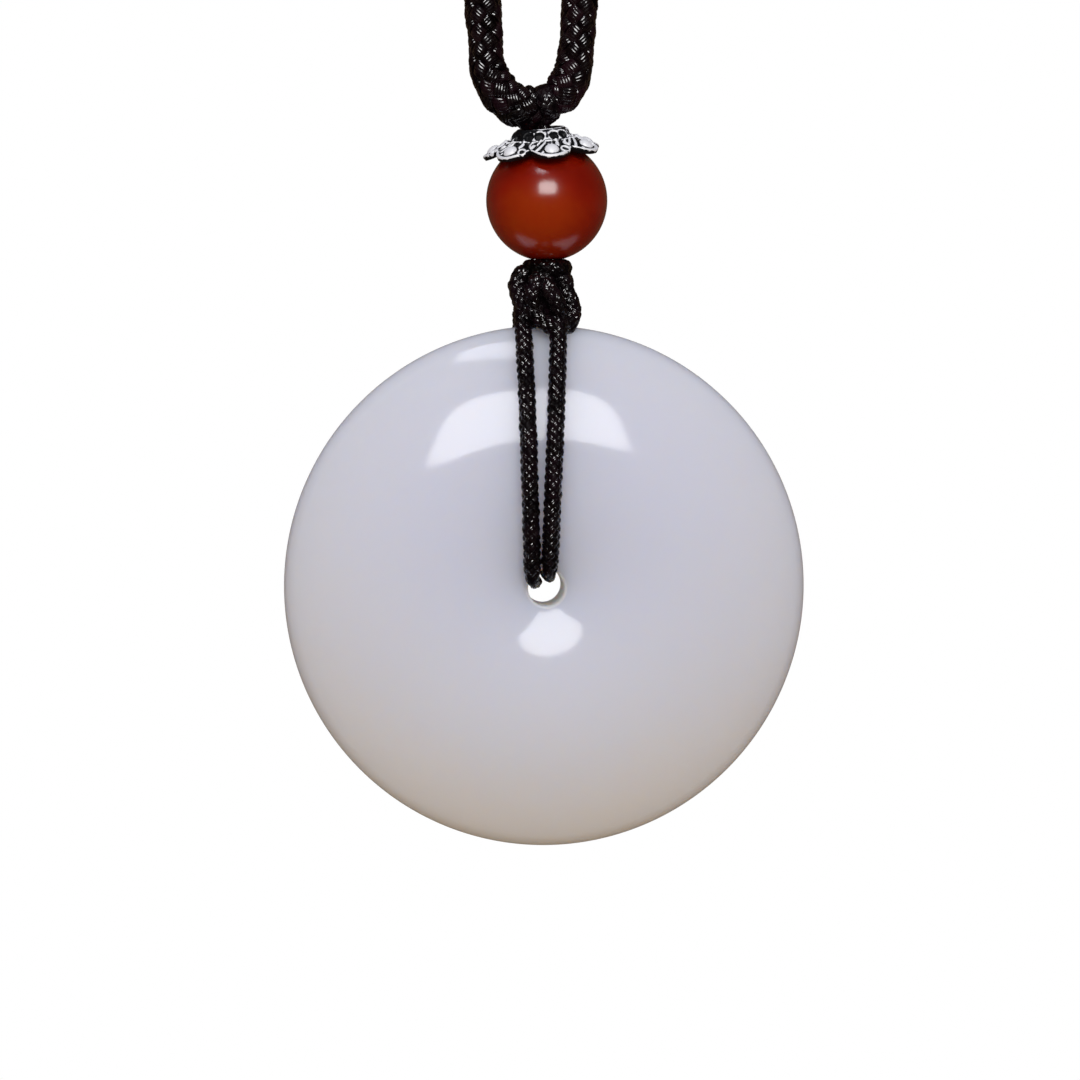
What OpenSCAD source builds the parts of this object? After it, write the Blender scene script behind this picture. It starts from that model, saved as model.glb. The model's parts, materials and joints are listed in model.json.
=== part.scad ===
// Chinese jade pendant. A polished jade disc hangs by two runs of thin cord from a
// knot, an agate bead and a silver flower cap, in the bend of a long braided neck cord.
// The front faces -Y. The origin is the inside top of the neck loop, where it hangs.

/* [Neck cord] */
// Length of the neck cord, all the way round its loop
neck_len = 600; // [450:10:800]
// Thickness of the neck cord
neck_d = 3; // [2.4:0.1:3.6]
// Centreline radius of the bend that carries the pendant
bend_r = 3.9; // [3.4:0.1:6]
// Lean of each leg of the loop away from upright, in degrees
leg_spread = 1.4; // [0.6:0.1:4]
// How deep the hanging loop nips into the neck cord
nip = 0.45; // [0.2:0.05:0.6]

/* [Joining wrap] */
// Length of the thread wrap over the neck cord's joined ends
wrap_len = 14; // [8:1:24]
// Thickness of the wound thread
wrap_wall = 0.6; // [0.4:0.1:1.2]

/* [Thin cord] */
// Thickness of the thin cord
thin_d = 1.45; // [1.2:0.05:1.7]
// Thickness of the thin cord where it is drawn through a hole
pressed_d = 0.95; // [0.8:0.05:1.05]
// Width of the hanging loop where it lies flat round the neck cord
band_w = 1.7; // [1.3:0.1:2]
// Thickness of the hanging loop there
band_t = 0.85; // [0.6:0.05:1.1]
// How far round the bend from its lowest point the hanging loop sits, in degrees
hang_angle = 19.6; // [10:0.2:24]

/* [Bead cap] */
// Width of the flower cap over its petals
cap_d = 9.6; // [8.8:0.1:11]
// Height of the cap
cap_h = 2.3; // [2:0.1:2.6]
// Width of the cap's raised crown
crown_d = 5.2; // [4.6:0.1:5.8]
// Number of petals
petals = 7; // [6:1:9]
// Lean of the cap on the bead, left side down, in degrees
cap_tilt = 5; // [0:0.5:6]
// Lean of the cap on the bead, front down, in degrees
cap_nod = 2.5; // [0:0.5:4]
// Turn of the front petal to the right, in degrees
cap_turn = 8; // [0:0.5:20]
// Height of the crown's top above the bead's top
crown_rise = 0.95; // [0.9:0.05:1.2]

/* [Agate bead] */
// Diameter of the bead
bead_d = 10; // [9:0.5:12]
// How far the bead hangs to the right of the disc's centre
bead_x = 0.2; // [0:0.1:0.6]

/* [Knot] */
// Width of the knot
knot_w = 5.9; // [5.4:0.1:7]
// Depth of the knot, front to back
knot_depth = 6.2; // [5.8:0.1:7]
// Height of the knot
knot_h = 6.1; // [5.6:0.1:7.4]
// How far the knot's belly hangs down over the disc's rim
knot_lap = 0.9; // [0.6:0.1:1.2]
// Distance from the disc's centre line to the left run of cord at the knot
left_x = 1.55; // [1.3:0.05:1.8]
// Distance from the disc's centre line to the right run of cord at the knot
right_x = 1.25; // [1:0.05:1.6]

/* [Jade disc] */
// Diameter of the disc
disc_d = 43; // [36:1:56]
// Thickness of the disc at its crest
disc_t = 10; // [8:0.5:12]
// Diameter of the crest, the ring where the disc is thickest
crest_d = 18.4; // [14:0.2:22]
// Radius of the rounded rim
rim_r = 2; // [1.5:0.1:2.6]
// Diameter of the hole
hole_d = 3; // [2.8:0.1:4.5]
// Radius of the rounded edge of the hole
hole_edge_r = 0.35; // [0.25:0.05:0.6]
// How far the two runs of cord sit to the left of the hole's centre
pair_x = 0.25; // [0:0.05:0.3]

/* [Clearances] */
// Room between a cord and what it touches
cord_gap = 0.1; // [0.05:0.01:0.12]
// Room that lets the hanging loop turn on the neck cord
swing_gap = 0.2; // [0.15:0.05:0.3]
// Room between the neck cord and the cap under it
cap_gap = 0.3; // [0.25:0.05:0.5]

/* [Hidden] */
fine = 96;
// Tiny step where one curve runs on into the next, so that the two cross cleanly
step = 0.01;

// Neck loop: two straight legs, tangent to the small bend below and the round top above
neck_r = neck_d / 2;
bend_turn = 180 - 2 * leg_spread;
top_turn = 180 + 2 * leg_spread;
centres_apart = (neck_len - 2 * PI * bend_r)
    / (sin(leg_spread) * top_turn * PI / 180 + 2 * cos(leg_spread));
top_r = bend_r + centres_apart * sin(leg_spread);
leg_len = centres_apart * cos(leg_spread);
leg_lap = 0.15;
wrap_in_r = neck_r + cord_gap;
wrap_r = wrap_in_r + wrap_wall;
wrap_turn = wrap_len / top_r * 180 / PI;

// The loop leans a little, so that the disc hangs plumb under the origin
top_drop = top_r - wrap_r;
bend_drop = top_drop + centres_apart;
bend_x = bead_x - bend_r * sin(hang_angle);
loop_lean = asin(-bend_x / bend_drop);
bend_z = -bend_drop * cos(loop_lean);

// Where the hanging loop grips the neck cord, and turns on it
hang_z = bend_z - bend_r * cos(hang_angle);
hang_point = [bead_x, 0, hang_z];
nip_axis = [cos(hang_angle), 0, sin(hang_angle)];
nip_up = [-sin(hang_angle), 0, cos(hang_angle)];
nip_r = neck_r - nip;
nip_round = 2;
band_r = nip_r + swing_gap + band_t / 2;
grip_from = -55;
grip_turn = 29;

// Heights down the pendant
cap_top = bend_z - bend_r - neck_r - cap_gap;
bead_r = bead_d / 2;
bead_z = cap_top - crown_rise - bead_r;
pair_half = (pressed_d + cord_gap) / 2;
bore_d = 2 * pressed_d + 3 * cord_gap;
cap_bore_d = bore_d + 0.5;
crown_r = crown_d / 2;
skirt = cap_d / 2 - crown_r;
knot_top = bead_z - bead_r - cord_gap;
knot_bottom = knot_top - knot_h;
disc_r = disc_d / 2;
disc_z = knot_bottom + knot_lap - disc_r;

// Disc section, as radius from the hole's axis against depth from the middle plane
half_t = disc_t / 2;
crest_r = crest_d / 2;
hole_r = hole_d / 2;
rim_at = disc_r - rim_r;
rim_reach = rim_at - crest_r;
face_r = (rim_reach ^ 2 + half_t ^ 2 - rim_r ^ 2) / (2 * (half_t - rim_r));
face_back = face_r - half_t;
rim_cut = crest_r + rim_reach * face_r / (face_r - rim_r);
edge_at = hole_r + hole_edge_r;
edge_reach = crest_r - edge_at;
edge_depth = sqrt((face_r - hole_edge_r) ^ 2 - edge_reach ^ 2) - face_back;
edge_cut = crest_r - edge_reach * face_r / (face_r - hole_edge_r);

// Runs of thin cord over the disc
stand_off = thin_d / 2 + cord_gap;
run_r = face_r + stand_off;
exit_r = disc_r + 0.2;
exit_angle = asin((exit_r - crest_r) / run_r);
inner_angle = -asin(edge_reach / (face_r - hole_edge_r));
run_steps = 7;
bend_steps = 3;

// Knot turns, with columns: x as a share of half the width, y of half the depth (front
// is negative) and z of the height from the bottom. The back repeats the front.
left_lobe = [[-0.2, -0.1, 0.9], [-0.75, -0.2, 0.98], [-1, -0.35, 0.76], [-0.94, -0.5, 0.52],
    [-0.8, -0.55, 0.28]];
left_inner = [[0.05, -0.35, 0.96], [-0.3, -0.65, 0.86], [-0.5, -0.8, 0.62], [-0.4, -0.75, 0.4],
    [-0.1, -0.5, 0.26]];
right_lobe = [[0.2, -0.2, 0.95], [0.75, -0.35, 0.8], [0.95, -0.45, 0.55], [1, -0.5, 0.35],
    [0.85, -0.55, 0.15]];
right_inner = [[0, -0.45, 0.9], [0.1, -0.8, 0.7], [0.45, -0.85, 0.45], [0.5, -0.65, 0.25]];
belly = [[-0.55, -0.6, 0.32], [-0.3, -0.88, 0.2], [0.1, -1, 0.06], [0.42, -0.92, 0],
    [0.7, -0.6, 0.1]];
top_wrap_r = 1.45;
core_at = 0.58;
core_d = 0.6 * knot_w;

function unit(v) = v / norm(v);
function along(p, i) = unit(p[min(i + 1, len(p) - 1)] - p[max(i - 1, 0)]);
function mix(a, b, t) = a + (b - a) * t;
function flipped(p) = [for (i = [len(p) - 1:-1:0]) p[i]];
function to_back(p) = [for (q = p) [q.x, -q.y, q.z]];

// A cord with oval rings: half_w runs along the side direction, half_h across it
module tube(points, half_w, half_h, side, sides = 8) {
    n = len(points);
    ring = [for (i = [0:n - 1]) let (
            t = along(points, i),
            u = unit(side - (side * t) * t),
            v = cross(t, u)
        ) each [for (k = [0:sides - 1]) points[i]
            + half_w[i] * cos(360 * (k + 0.5) / sides) * u
            + half_h[i] * sin(360 * (k + 0.5) / sides) * v]];
    walls = [for (i = [0:n - 2]) each [for (k = [0:sides - 1]) let (
            a = i * sides + k,
            b = i * sides + (k + 1) % sides
        ) each [[a, b + sides, b], [a, a + sides, b + sides]]]];
    ends = [for (k = [1:sides - 2]) each [
        [0, k, k + 1],
        [(n - 1) * sides, (n - 1) * sides + k + 1, (n - 1) * sides + k]]];
    polyhedron(ring, concat(walls, ends));
}

// One run of cord: side is -1 for the left and 1 for the right
function top_x(side) = side < 0 ? -left_x : right_x;
function low_x(side) = -pair_x + side * (thin_d + cord_gap) / 2;
function hole_x(side) = -pair_x + side * pair_half;
function run_point(x, r, y) = [x, y, disc_z + sqrt(r ^ 2 - x ^ 2)];

function face_run(side) = [for (i = [0:run_steps]) let (
        angle = mix(exit_angle, inner_angle, i / run_steps)
    ) run_point(mix(top_x(side), low_x(side), i / run_steps),
        crest_r + run_r * sin(angle), face_back - run_r * cos(angle))];

function edge_run(side) = [for (i = [1:bend_steps]) let (
        t = i / bend_steps,
        angle = mix(inner_angle, -90, t),
        turn_r = hole_edge_r + mix(stand_off, (pressed_d + cord_gap) / 2, t)
    ) run_point(mix(low_x(side), hole_x(side), t),
        edge_at + turn_r * sin(angle), -edge_depth - turn_r * cos(angle))];

function run_front(side) = concat(face_run(side), edge_run(side));
function run_halves() = concat([for (i = [0:run_steps]) thin_d / 2],
    [for (i = [1:bend_steps]) mix(thin_d, pressed_d, i / bend_steps) / 2]);

module strand(side, extra = 0) {
    route = run_front(side);
    start = route[0] + extra * unit(route[0] - route[1]);
    front = concat([start], [for (i = [1:len(route) - 1]) route[i]]);
    halves = [for (h = run_halves()) h + extra];
    tube(concat(front, flipped(to_back(front))), concat(halves, flipped(halves)),
        concat(halves, flipped(halves)), [1, 0, 0]);
}

module strand_left() {
    color("#241a1e") strand(-1);
}

module strand_right() {
    color("#241a1e") strand(1);
}

// Section of the disc: two shallow arcs, closed by the round rim and the hole's edges
module disc_section() {
    intersection() {
        translate([crest_r, face_back]) circle(r = face_r, $fn = fine);
        translate([crest_r, -face_back]) circle(r = face_r, $fn = fine);
        translate([edge_cut, -disc_t]) square([rim_cut - edge_cut, 2 * disc_t]);
    }
    translate([rim_at - step, 0]) circle(r = rim_r + step, $fn = fine);
    translate([hole_r, -edge_depth]) square([crest_r - hole_r, 2 * edge_depth]);
    for (way = [-1, 1]) translate([edge_at + step, way * edge_depth])
        circle(r = hole_edge_r + step, $fn = fine);
}

module jade_disc() {
    color("#c6c6d2") translate([0, 0, disc_z]) rotate([90, 0, 0])
        rotate_extrude($fn = fine) disc_section();
}

module agate_bead() {
    color("#8a2a10") translate([bead_x, 0, bead_z]) difference() {
        sphere(d = bead_d, $fn = fine);
        cylinder(d = bore_d, h = 2 * bead_d, center = true, $fn = fine);
    }
}

// Cap section: an open-topped crown, then the petals' drooping skirt
module cap_section() {
    bore = cap_bore_d / 2;
    polygon([
        [bore, -cap_h], [bore, -0.3 * cap_h], [crown_r - 0.9, 0], [crown_r - 0.65, 0],
        [crown_r - 0.3, -0.1 * cap_h], [crown_r - 0.05, -0.27 * cap_h],
        [crown_r + 0.12 * skirt, -0.36 * cap_h], [crown_r + 0.45 * skirt, -0.54 * cap_h],
        [crown_r + 0.8 * skirt, -0.76 * cap_h], [crown_r + skirt, -0.94 * cap_h],
        [crown_r + 0.96 * skirt, -0.98 * cap_h], [crown_r + 0.78 * skirt, -0.9 * cap_h],
        [crown_r + 0.42 * skirt, -0.7 * cap_h], [crown_r + 0.15 * skirt, -0.74 * cap_h],
        [crown_r - 0.2, -cap_h]]);
}

module cap_flower() {
    petal_r = cap_d / 2 * sin(180 / petals) * 0.88;
    petal_at = cap_d / 2 - petal_r;
    circle(r = petal_at, $fn = fine);
    for (i = [0:petals - 1]) rotate(i * 360 / petals) translate([petal_at, 0])
        circle(r = petal_r, $fn = fine);
}

// The front petal faces -Y
module around_cap(shift = 0) {
    for (i = [0:petals - 1]) rotate((i + shift) * 360 / petals - 90) children();
}

// On the sloping face of each petal
module on_petals() {
    around_cap() translate([crown_r + 0.62 * skirt, 0, -0.65 * cap_h])
        rotate([0, atan2(0.22 * cap_h, 0.35 * skirt), 0]) children();
}

// A low round boss, rooted in the petal
module boss(dome_r, rise, root) {
    rotate_extrude($fn = 32) intersection() {
        translate([0, rise - dome_r]) circle(r = dome_r, $fn = 32);
        translate([0, -root]) square([dome_r, root + rise]);
    }
}

// Each petal is dished inside a raised edge, with a boss in the dish. Two hollows in the
// crown stand over each petal
module bead_cap() {
    dish_r = 2.4;
    dish_deep = 0.12;
    boss_r = 0.62;
    boss_rise = 0.28;
    boss_root = 0.2;
    hollow_r = 0.42;
    color("#b9b9bd") difference() {
        translate([bead_x, 0, bead_z]) rotate([cap_nod, -cap_tilt, 0])
            translate([0, 0, bead_r + crown_rise]) rotate(cap_turn) {
                difference() {
                    intersection() {
                        rotate_extrude($fn = fine) cap_section();
                        rotate(-90) translate([0, 0, -2 * cap_h]) linear_extrude(3 * cap_h)
                            cap_flower();
                    }
                    for (way = [-0.3, 0.3]) around_cap(way)
                        translate([crown_r + 0.06, 0, -0.2 * cap_h])
                            sphere(r = hollow_r, $fn = 32);
                    on_petals() translate([0, 0, dish_r - dish_deep]) sphere(r = dish_r, $fn = 48);
                }
                on_petals() boss(boss_r, boss_rise, boss_root);
            }
        translate([bead_x, 0, bead_z]) sphere(r = bead_r + cord_gap, $fn = fine);
        translate([bead_x, 0, bead_z]) cylinder(d = bore_d, h = 2 * bead_d, $fn = fine);
    }
}

// Arc of the neck loop, in its own upright plane, from one angle round to another
module loop_arc(arc_r, from, turn) {
    rotate([90, 0, 0]) rotate([0, 0, from]) rotate_extrude(angle = turn, $fn = fine)
        translate([arc_r, 0]) children();
}

module in_loop() {
    rotate([0, loop_lean, 0]) children();
}

module neck_cord() {
    color("#2d2629") difference() {
        in_loop() {
            translate([0, 0, -top_drop]) loop_arc(top_r, -leg_spread, top_turn)
                circle(r = neck_r, $fn = fine);
            translate([0, 0, -bend_drop]) {
                loop_arc(bend_r, 180 + leg_spread, bend_turn) circle(r = neck_r, $fn = fine);
                for (way = [0, 1]) mirror([way, 0, 0]) rotate([0, leg_spread, 0])
                    translate([bend_r, 0, -leg_lap])
                        cylinder(r = neck_r - step, h = leg_len + 2 * leg_lap, $fn = fine);
            }
        }
        translate(hang_point) rotate([0, 90 - hang_angle, 0]) rotate_extrude($fn = fine)
            translate([nip_r + nip_round, 0]) circle(r = nip_round, $fn = fine);
    }
}

module cord_join() {
    color("#1f1a1c") in_loop() translate([0, 0, -top_drop])
        loop_arc(top_r, 90 - wrap_turn / 2, wrap_turn) difference() {
            circle(r = wrap_r, $fn = fine);
            circle(r = wrap_in_r, $fn = fine);
        }
}

// Front half of the hanging loop, from the bead's underside up to the top of the grip
function loop_rise() = [for (z = [bead_z - bead_r, bead_z, cap_top - cap_h / 3])
    [bead_x, -pair_half, z]];
function loop_lead() = [bead_x + cord_gap, -pair_half, cap_top + cord_gap];
function loop_grip() = [for (angle = [grip_from:grip_turn:90])
    hang_point + [0, -band_r * cos(angle), 0] + band_r * sin(angle) * nip_up];

module hanging_loop() {
    narrow = concat(loop_rise(), [loop_lead()]);
    wide = loop_grip();
    front = concat(narrow, wide);
    rest = [for (i = [len(front) - 2:-1:0]) i];
    back = to_back([for (i = rest) front[i]]);
    half_w = concat([for (p = narrow) pressed_d / 2], [for (p = wide) band_w / 2]);
    half_h = concat([for (p = narrow) pressed_d / 2], [for (p = wide) band_t / 2]);
    color("#241a1e") tube(concat(front, back), concat(half_w, [for (i = rest) half_w[i]]),
        concat(half_h, [for (i = rest) half_h[i]]), nip_axis);
}

// Turns of the knot, as chains of round-ended lengths of cord
function knot_place(share) = [share.x * (knot_w - thin_d) / 2, share.y * (knot_depth - thin_d) / 2,
    knot_bottom + thin_d / 2 + share.z * (knot_h - thin_d)];

module cord_turn(points) {
    for (i = [0:len(points) - 2]) hull() {
        translate(points[i]) sphere(d = thin_d, $fn = 12);
        translate(points[i + 1]) sphere(d = thin_d, $fn = 12);
    }
}

module cord_knot() {
    color("#241a1e") difference() {
        union() {
            for (way = [0, 1]) mirror([0, way, 0]) {
                for (turn = [left_inner, right_inner, belly])
                    cord_turn([for (share = turn) knot_place(share)]);
                cord_turn(concat([for (share = left_lobe) knot_place(share)], [run_front(-1)[0]]));
                cord_turn(concat([for (share = right_lobe) knot_place(share)], [run_front(1)[0]]));
            }
            translate([bead_x, 0, bead_z - sqrt((bead_r + stand_off) ^ 2 - top_wrap_r ^ 2)])
                rotate_extrude($fn = 24) translate([top_wrap_r, 0]) circle(d = thin_d, $fn = 12);
            translate([0, 0, knot_bottom + core_at * knot_h]) sphere(d = core_d, $fn = 24);
            translate([bead_x, 0, knot_bottom + core_at * knot_h])
                cylinder(r = top_wrap_r, h = (1 - core_at) * knot_h, $fn = 24);
        }
        for (side = [-1, 1]) strand(side, cord_gap);
        translate([0, 0, disc_z]) rotate([90, 0, 0])
            cylinder(r = disc_r + cord_gap, h = 2 * rim_r, center = true, $fn = fine);
    }
}

jade_disc();
agate_bead();
bead_cap();
neck_cord();
cord_join();
hanging_loop();
cord_knot();
strand_left();
strand_right();
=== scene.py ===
import bpy
import json
import math
import numpy as np
from mathutils import Matrix, Vector


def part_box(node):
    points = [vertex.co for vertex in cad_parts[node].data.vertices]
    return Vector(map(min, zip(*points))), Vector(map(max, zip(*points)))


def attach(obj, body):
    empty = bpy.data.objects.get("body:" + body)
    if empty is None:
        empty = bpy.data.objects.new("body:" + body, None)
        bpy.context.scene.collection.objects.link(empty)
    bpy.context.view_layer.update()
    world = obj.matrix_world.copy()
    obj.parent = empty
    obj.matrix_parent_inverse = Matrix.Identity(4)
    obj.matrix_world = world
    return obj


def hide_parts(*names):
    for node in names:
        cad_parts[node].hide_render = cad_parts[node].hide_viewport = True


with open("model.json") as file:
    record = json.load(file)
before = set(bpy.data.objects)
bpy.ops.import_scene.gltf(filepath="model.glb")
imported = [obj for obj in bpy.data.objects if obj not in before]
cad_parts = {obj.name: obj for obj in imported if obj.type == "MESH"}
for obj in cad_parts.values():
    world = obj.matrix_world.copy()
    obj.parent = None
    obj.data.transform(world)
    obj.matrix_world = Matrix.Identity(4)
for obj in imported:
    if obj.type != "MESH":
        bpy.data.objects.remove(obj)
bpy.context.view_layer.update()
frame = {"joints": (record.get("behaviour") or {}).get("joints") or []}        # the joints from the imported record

mm = 0.001               # all shapes are worked out in millimetres
across = np.array((1.0, 0.0, 0.0))
backward = np.array((0.0, 1.0, 0.0))
upward = np.array((0.0, 0.0, 1.0))


# Places, taken from the frame
def middleOf(node):
    low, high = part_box(node)
    return np.array(low + high) / 2 / mm


def sizeOf(node):
    low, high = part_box(node)
    return np.array(high - low) / mm


swing = frame["joints"][0]
hangAt = np.array(swing["pos_m"]) / mm           # where the thin loop grips the neck cord
nipAxis = np.array(swing["axis"])                # along the neck cord there
nipUp = np.array((-nipAxis[2], 0.0, nipAxis[0]))
discAt = middleOf("jade_disc")
beadAt = middleOf("agate_bead")

thinCord = {
    "thick": 1.45,
    "pressed": 0.95,       # drawn through a hole
    "gap": 0.1,            # room between the cord and what it touches
    "bandWide": 1.5,       # where it lies flat round the neck cord
    "bandThick": 0.6,
    "pairLeft": 0.25,      # how far left of the hole's centre the two runs sit
}


# Camera, at the photo's angle and scale
photo = {
    "side": 1080,
    "pixelsPerMm": 12.1,
    "discX": 544.3,        # the disc's centre in the photo
    "discY": 585.8,
    "azimuth": -2.8,
    "elevation": 2.8,
    "distance": 520.0,
    "sensor": 36.0,
}


def viewAxes(azimuth, elevation):
    a, e = math.radians(azimuth), math.radians(elevation)
    back = np.array((math.sin(a) * math.cos(e), -math.cos(a) * math.cos(e), math.sin(e)))
    right = np.array((math.cos(a), math.sin(a), 0.0))
    return back, right, np.cross(back, right)


def makeCamera():
    back, right, up = viewAxes(photo["azimuth"], photo["elevation"])
    half = photo["side"] / 2
    aim = (discAt + right * (half - photo["discX"]) / photo["pixelsPerMm"]
           - up * (half - photo["discY"]) / photo["pixelsPerMm"])
    camera = bpy.data.cameras.new("photoCamera")
    frameWide = photo["side"] / photo["pixelsPerMm"]
    camera.sensor_width = photo["sensor"]
    camera.lens = photo["sensor"] * photo["distance"] / frameWide
    camera.clip_start = 0.01
    camera.clip_end = 20
    seen = bpy.data.objects.new("photoCamera", camera)
    seen.location = Vector((aim + back * photo["distance"]) * mm)
    seen.rotation_mode = "QUATERNION"
    seen.rotation_quaternion = Vector(-back).to_track_quat("-Z", "Y")
    bpy.context.scene.collection.objects.link(seen)
    bpy.context.scene.camera = seen


makeCamera()
print("camera placed")


# Materials
def linear(hexColour):
    parts = [int(hexColour[i:i + 2], 16) / 255 for i in (1, 3, 5)]
    return [c / 12.92 if c <= 0.04045 else ((c + 0.055) / 1.055) ** 2.4 for c in parts] + [1.0]


def addNode(tree, kind, settings=None, links=None):
    node = tree.nodes.new(kind)
    for key, value in (settings or {}).items():
        if isinstance(key, int) or key in node.inputs:
            node.inputs[key].default_value = value
        else:
            setattr(node, key, value)
    for key, source in (links or {}).items():
        tree.links.new(source, node.inputs[key])
    return node


def newMaterial(name, values=None):
    made = bpy.data.materials.new(name)
    made.use_nodes = True
    tree = made.node_tree
    shader = tree.nodes["Principled BSDF"]
    for socket, value in (values or {}).items():
        shader.inputs[socket].default_value = value
    return made, tree, shader


def setRamp(node, stops):
    ramp = node.color_ramp
    while len(ramp.elements) < len(stops):
        ramp.elements.new(0.5)
    for element, (place, colour) in zip(ramp.elements, stops):
        element.position = place
        element.color = linear(colour)


def polishedMilkJade():
    # Polished milky nephrite: light spreads far inside it, under a sharp glassy gloss. Its colour
    # is
    # cloudy at random, cool in the thick body and painted warmer towards the rim and the bottom:
    # painted warm light from below and through the thin rim
    made, tree, shader = newMaterial("polishedMilkJade", {
        "Subsurface Weight": 0.9,
        "Subsurface Radius": (1.0, 0.85, 0.7),
        "Subsurface Scale": 8 * mm,
        "IOR": 1.61,
        "Specular IOR Level": 0.32,
    })
    place = addNode(tree, "ShaderNodeTexCoord")
    clouds = addNode(tree, "ShaderNodeTexNoise",
                     {"Scale": 1 / (14 * mm), "Detail": 4.0, "Roughness": 0.55, "Distortion": 0.6},
                     {"Vector": place.outputs["Object"]})
    # Painted light: the colour warms away from a point above the disc's middle, most at the bottom
    # and rim
    body = addNode(tree, "ShaderNodeMapping",
                   {"vector_type": "TEXTURE", "Location": (discAt + (0, 0, 6)) * mm,
                    "Scale": (34 * mm, 60 * mm, 30 * mm)},
                   {"Vector": place.outputs["Object"]})
    paintedWarmBelow = addNode(tree, "ShaderNodeTexGradient", {"gradient_type": "SPHERICAL"},
                    {"Vector": body.outputs["Vector"]})
    both = addNode(tree, "ShaderNodeMath", {"operation": "MULTIPLY_ADD", 1: 0.16},
                   {0: clouds.outputs["Fac"], 2: paintedWarmBelow.outputs["Fac"]})
    tint = addNode(tree, "ShaderNodeValToRGB", links={"Fac": both.outputs["Value"]})
    setRamp(tint, [(0.12, "#e7e0d6"), (0.45, "#dfdfe3"), (0.8, "#dbdde8")])
    # The drilled hole's wall and its edge are left unpolished, frosted; their colour is painted
    # white, painted light that lifts the shade inside the hole
    axis = addNode(tree, "ShaderNodeMapping",
                   {"vector_type": "TEXTURE", "Location": discAt * mm,
                    "Scale": (1.0, 1000.0, 1.0)},
                   {"Vector": place.outputs["Object"]})
    away = addNode(tree, "ShaderNodeVectorMath", {"operation": "LENGTH"},
                   {"Vector": axis.outputs["Vector"]})
    gloss, paintedWallLight = [addNode(tree, "ShaderNodeMapRange",
                              {"From Min": 1.55 * mm, "From Max": 1.75 * mm,
                               "To Min": onWall, "To Max": onFace},
                              {"Value": away.outputs["Value"]})
                      for onWall, onFace in ((0.65, 0.09), (1.0, 0.0))]
    wallPaintedPale = addNode(tree, "ShaderNodeMix", {"data_type": "RGBA", 7: linear("#ffffff")},
                    {0: paintedWallLight.outputs["Result"], 6: tint.outputs["Color"]})
    tree.links.new(gloss.outputs["Result"], shader.inputs["Roughness"])
    tree.links.new(wallPaintedPale.outputs[2], shader.inputs["Base Color"])
    return made


def polishedAgate():
    # Polished red-brown agate: deep and a little see-through, its tone drifting at random, and
    # painted brighter orange low on its front: a painted glow of light shining through the stone
    made, tree, shader = newMaterial("polishedAgate", {
        "Subsurface Weight": 0.5,
        "Subsurface Radius": (1.0, 0.2, 0.05),
        "Subsurface Scale": 1.5 * mm,
        "Roughness": 0.2,
        "IOR": 1.54,
        "Specular IOR Level": 0.7,
    })
    place = addNode(tree, "ShaderNodeTexCoord")
    # Painted glow: the colour is lighter orange near a point low on the bead's front
    heart = addNode(tree, "ShaderNodeMapping",
                    {"vector_type": "TEXTURE", "Location": (beadAt + (-0.8, -4.0, -1.6)) * mm,
                     "Scale": (5.2 * mm, 5.2 * mm, 4.6 * mm)},
                    {"Vector": place.outputs["Object"]})
    paintedGlow = addNode(tree, "ShaderNodeTexGradient", {"gradient_type": "SPHERICAL"},
                   {"Vector": heart.outputs["Vector"]})
    drift = addNode(tree, "ShaderNodeTexNoise",
                    {"Scale": 1 / (4 * mm), "Detail": 2.0, "Distortion": 0.8},
                    {"Vector": place.outputs["Object"]})
    both = addNode(tree, "ShaderNodeMath", {"operation": "MULTIPLY_ADD", 1: 0.6},
                   {0: drift.outputs["Fac"], 2: paintedGlow.outputs["Fac"]})
    tint = addNode(tree, "ShaderNodeValToRGB", links={"Fac": both.outputs["Value"]})
    setRamp(tint, [(0.2, "#7e0e00"), (0.5, "#8e1700"), (0.95, "#a02e00")])
    # Polished by hand, so the gloss wavers a little
    uneven = addNode(tree, "ShaderNodeTexNoise", {"Scale": 1 / (1.6 * mm), "Detail": 2.0},
                     {"Vector": place.outputs["Object"]})
    bump = addNode(tree, "ShaderNodeBump", {"Strength": 0.5, "Distance": 0.05 * mm},
                   {"Height": uneven.outputs["Fac"]})
    tree.links.new(tint.outputs["Color"], shader.inputs["Base Color"])
    tree.links.new(bump.outputs["Normal"], shader.inputs["Normal"])
    return made


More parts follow.
